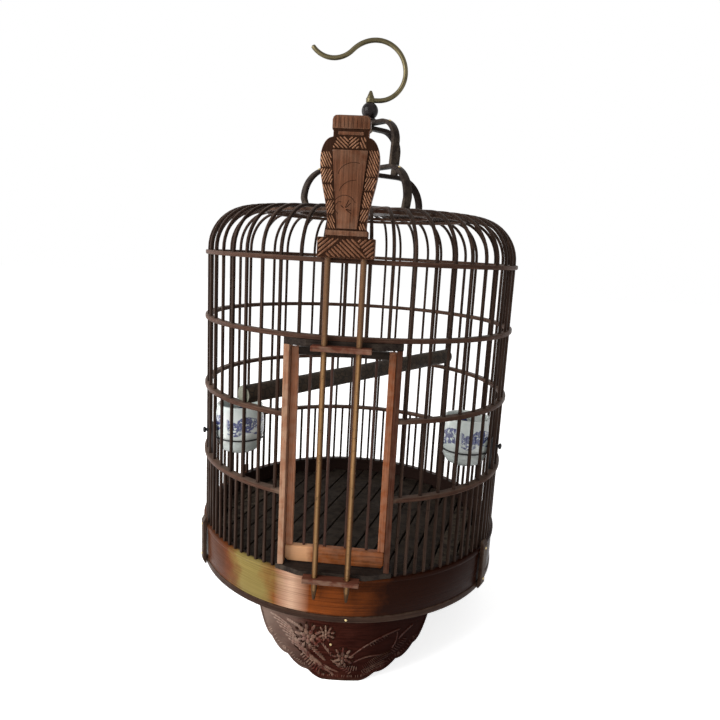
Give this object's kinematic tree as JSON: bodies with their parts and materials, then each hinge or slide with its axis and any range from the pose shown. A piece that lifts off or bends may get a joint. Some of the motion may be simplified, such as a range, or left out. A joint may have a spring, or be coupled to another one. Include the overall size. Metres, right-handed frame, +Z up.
{
  "type": "bird cage",
  "caption": "Round bamboo splint cage with a flat dome, a lift-up barred door held by a vase-shaped bolt on two rods, a swivel hook, a perch, feeding cups and carved feet.",
  "frame": {"origin": "the cage's axis at the plane of the feet", "axes": "+Z up along the axis, the door faces -Y, +X to the right of the door"},
  "size_m": [0.3218, 0.3319, 0.5984],
  "materials": {
    "bamboo": "dark varnished bamboo splint",
    "band_wood": "glossy varnish over warm brown bamboo",
    "rim_wood": "worn dark varnish",
    "carved_wood": "dark red-brown, carved",
    "vase_wood": "oiled mid brown, carved",
    "jamb_wood": "worn orange-brown",
    "door_wood": "orange-brown varnish",
    "board_wood": "near black varnish",
    "guide_wood": "reddish varnish",
    "rod_bamboo": "pale golden bamboo",
    "floor_wood": "dark floor slats",
    "perch_wood": "dark branch with a grey-green cut end",
    "hanger_bamboo": "near black bent bamboo",
    "hook_metal": "aged olive brass",
    "bead": "glossy dark bead",
    "wire": "black wire",
    "porcelain": "glazed white with a blue pattern"
  },
  "bodies": {
    "cage": {"wall_bars": "bamboo", "door_head_bars": "bamboo", "short_bars": "bamboo", "top_hoop": "bamboo", "upper_hoop": "bamboo", "middle_hoop": "bamboo", "lower_hoop": "bamboo", "base_band": "band_wood", "band_lip": "band_wood", "base_rim": "rim_wood", "bottom_board": "floor_wood", "floor_ledge": "floor_wood", "floor_slats": "floor_wood", "floor_bearers": "floor_wood", "front_foot": "carved_wood", "right_foot": "carved_wood", "left_foot": "carved_wood", "right_front_cleat": "rim_wood", "right_back_cleat": "rim_wood", "left_back_cleat": "rim_wood", "left_front_cleat": "rim_wood", "top_boss": "hanger_bamboo", "dome_ring_inner": "bamboo", "dome_ring_outer": "bamboo", "door_header": "board_wood", "door_sill": "board_wood", "left_jamb": "jamb_wood", "right_jamb": "jamb_wood", "upper_guide": "guide_wood", "lower_guide": "guide_wood", "perch": "perch_wood", "left_cup_holder": "wire", "right_cup_holder": "wire", "hanger_lower_bow_a": "hanger_bamboo", "hanger_lower_bow_b": "hanger_bamboo", "hanger_upper_bow_a": "hanger_bamboo", "hanger_upper_bow_b": "hanger_bamboo", "hanger_collar": "bead", "swivel_bead": "bead", "swivel_pin": "hook_metal"},
    "door": {"door_left_stile": "door_wood", "door_right_stile": "door_wood", "door_bottom_rail": "door_wood", "door_top_rail": "door_wood", "door_bars": "bamboo"},
    "bolt": {"vase_plaque": "vase_wood", "left_rod": "rod_bamboo", "right_rod": "rod_bamboo"},
    "hook": {"hook": "hook_metal"},
    "left_cup": {"left_cup": "porcelain"},
    "right_cup": {"right_cup": "porcelain"}
  },
  "joints": [
    {"name": "hook_swivel", "type": "hinge", "parent": "cage", "child": "hook", "pos_m": [0, 0, 0.5389], "axis": [0, 0, 1], "continuous": true},
    {"name": "bolt_lift", "type": "slide", "parent": "cage", "child": "bolt", "axis": [0, 0, 1], "range_m": [0, 0.2]},
    {"name": "door_lift", "type": "slide", "parent": "cage", "child": "door", "axis": [0, 0, 1], "range_m": [0, 0.092]},
    {"name": "left_cup_lift", "type": "slide", "parent": "cage", "child": "left_cup", "axis": [0, 0, 1], "range_m": [0, 0.03]},
    {"name": "right_cup_lift", "type": "slide", "parent": "cage", "child": "right_cup", "axis": [0, 0, 1], "range_m": [0, 0.03]}
  ]
}
